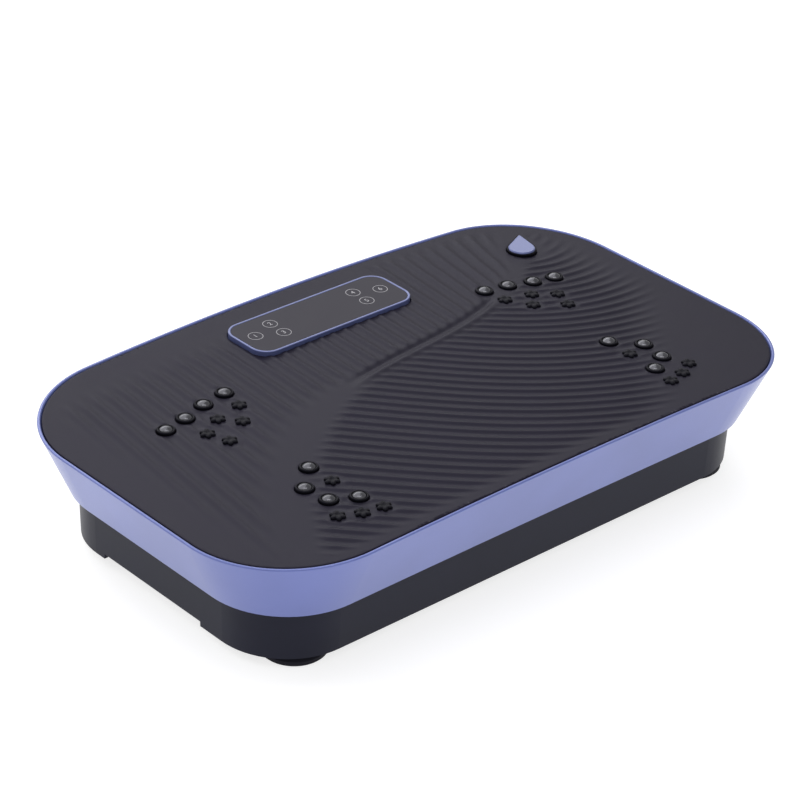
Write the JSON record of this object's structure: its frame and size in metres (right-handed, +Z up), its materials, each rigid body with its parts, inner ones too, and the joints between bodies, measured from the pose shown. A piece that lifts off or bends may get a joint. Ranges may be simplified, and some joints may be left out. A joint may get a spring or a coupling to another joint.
{
  "type": "vibration plate",
  "caption": "Low oblong exercise platform with an arched ribbed top and flared skirt that rocks on a centre pivot over a flat base, with a touch panel, massage domes and rubber feet.",
  "frame": {"origin": "on the floor under the centre of the deck", "axes": "+X along the length, +Y from the front towards the control panel, +Z up"},
  "size_m": [0.5292, 0.319, 0.1074],
  "materials": {
    "tray_plastic": "fine moulded texture",
    "skirt_finish": "satin pearl lacquer",
    "cover_plastic": "moulded",
    "mat_rubber": "soft matt",
    "stud_rubber": "soft matt",
    "dome_metal": "dark polished",
    "panel_trim": "satin pearl lacquer",
    "panel_glass": "smoked, polished",
    "foot_rubber": "moulded",
    "zinc_steel": "zinc plated",
    "black_steel": "powder coated",
    "bearing_steel": "ground",
    "block_iron": "as cast",
    "bush_bronze": "turned",
    "pulley_alloy": "turned",
    "belt_rubber": "ribbed",
    "rod_alloy": "cast and machined",
    "board_laminate": "solder mask",
    "component_plastic": "moulded",
    "sink_alloy": "extruded",
    "display_plastic": "tinted",
    "pad_foam": "conductive foam",
    "fitting_plastic": "moulded",
    "contact_metal": "nickel plated",
    "rocker_plastic": "moulded",
    "cable_sheath": "smooth"
  },
  "bodies": {
    "base": {"base_tray": "tray_plastic", "base_plate": "zinc_steel", "foot_screws": "zinc_steel", "base_plate_screws": "zinc_steel", "front_pivot_bracket": "black_steel", "rear_pivot_bracket": "black_steel", "pivot_pins": "bearing_steel", "pivot_clips": "bearing_steel", "left_bearing_block": "block_iron", "right_bearing_block": "block_iron", "main_bearings": "bearing_steel", "frame_bolts": "zinc_steel", "motor_can": "black_steel", "motor_end_cap": "pulley_alloy", "motor_bracket": "zinc_steel", "drive_belt": "belt_rubber", "power_board": "board_laminate", "board_standoffs": "contact_metal", "heat_sink": "sink_alloy", "board_components": "component_plastic", "power_inlet": "fitting_plastic", "inlet_pins": "contact_metal", "switch_housing": "fitting_plastic", "panel_cable": "cable_sheath", "power_leads": "cable_sheath", "foot_front_left": "foot_rubber", "foot_front_right": "foot_rubber", "foot_rear_left": "foot_rubber", "foot_rear_right": "foot_rubber"},
    "deck": {"deck_plate": "black_steel", "front_pivot_ear": "black_steel", "rear_pivot_ear": "black_steel", "pivot_bushes": "bush_bronze", "left_rod_clevis": "black_steel", "right_rod_clevis": "black_steel", "rod_pins": "bearing_steel", "deck_skirt": "skirt_finish", "deck_cover": "cover_plastic", "cover_screws": "zinc_steel", "skirt_screws": "zinc_steel", "top_mat": "mat_rubber", "panel_bezel": "panel_trim", "panel_glass": "panel_glass", "touch_board": "board_laminate", "display_module": "display_plastic", "key_pads": "pad_foam", "corner_cap": "panel_trim", "massage_domes": "dome_metal", "dome_collars": "stud_rubber", "grip_studs": "stud_rubber"},
    "crank": {"crankshaft": "bearing_steel", "crank_pulley": "pulley_alloy", "rod_bearings": "bearing_steel"},
    "left_link": {"left_rod": "rod_alloy"},
    "right_link": {"right_rod": "rod_alloy"},
    "rotor": {"motor_shaft": "bearing_steel", "motor_armature": "bearing_steel", "motor_pulley": "pulley_alloy"},
    "rocker": {"switch_rocker": "rocker_plastic"}
  },
  "joints": [
    {"name": "deck_rock", "type": "hinge", "parent": "base", "child": "deck", "pos_m": [0, 0, 0.06], "axis": [0, 1, 0], "range_deg": [-1.3, 1.3]},
    {"name": "crank_spin", "type": "hinge", "parent": "base", "child": "crank", "pos_m": [0, 0, 0.044], "axis": [1, 0, 0], "continuous": true},
    {"name": "left_rod_turn", "type": "hinge", "parent": "crank", "child": "left_link", "pos_m": [-0.062, 0.00141, 0.044], "axis": [1, 0, 0], "continuous": true},
    {"name": "right_rod_turn", "type": "hinge", "parent": "crank", "child": "right_link", "pos_m": [0.062, -0.00141, 0.044], "axis": [1, 0, 0], "continuous": true},
    {"name": "motor_spin", "type": "hinge", "parent": "base", "child": "rotor", "pos_m": [0.0368, -0.066, 0.0503], "axis": [1, 0, 0], "continuous": true},
    {"name": "power_switch", "type": "hinge", "parent": "base", "child": "rocker", "pos_m": [-0.152, 0.12665, 0.029], "axis": [0, 0, 1], "range_deg": [0, 16]}
  ],
  "couplings": [
    {"joint": "left_rod_turn", "follows": "crank_spin", "ratio": -1},
    {"joint": "right_rod_turn", "follows": "crank_spin", "ratio": -1},
    {"joint": "motor_spin", "follows": "crank_spin", "ratio": 2.6667}
  ]
}
